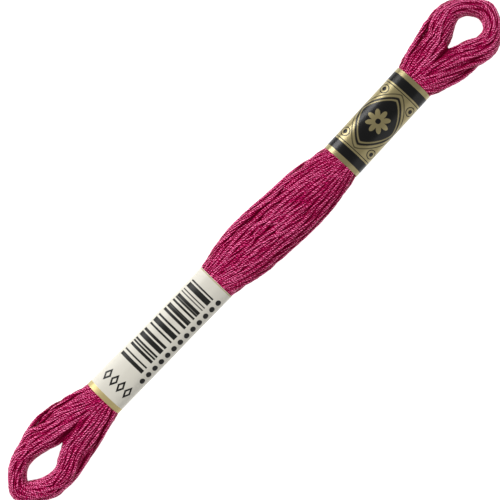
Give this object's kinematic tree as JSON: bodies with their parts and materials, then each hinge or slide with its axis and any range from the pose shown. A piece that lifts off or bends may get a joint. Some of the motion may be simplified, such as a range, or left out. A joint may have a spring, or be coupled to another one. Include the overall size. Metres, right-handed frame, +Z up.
{
  "type": "skein of embroidery floss",
  "caption": "Skein of six-strand cotton embroidery floss, drawn together lengthwise with an open eye at each end, and held by two glued paper bands.",
  "frame": {"origin": "middle of the skein's outline in plan, on the surface that it rests on", "axes": "+X runs along the skein towards its narrow gold band, +Y across it, and +Z up from the surface it lies on"},
  "size_m": [0.1679, 0.0227, 0.0081],
  "materials": {
    "floss": "deep magenta mercerised cotton, loosely twisted, with a soft sheen",
    "gold_paper": "coated paper printed in dull gold and black",
    "white_paper": "off-white coated paper printed with black bars and a gold stripe"
  },
  "bodies": {
    "root": {"skein": "floss", "band_upper": "gold_paper", "band_lower": "white_paper"}
  },
  "joints": []
}
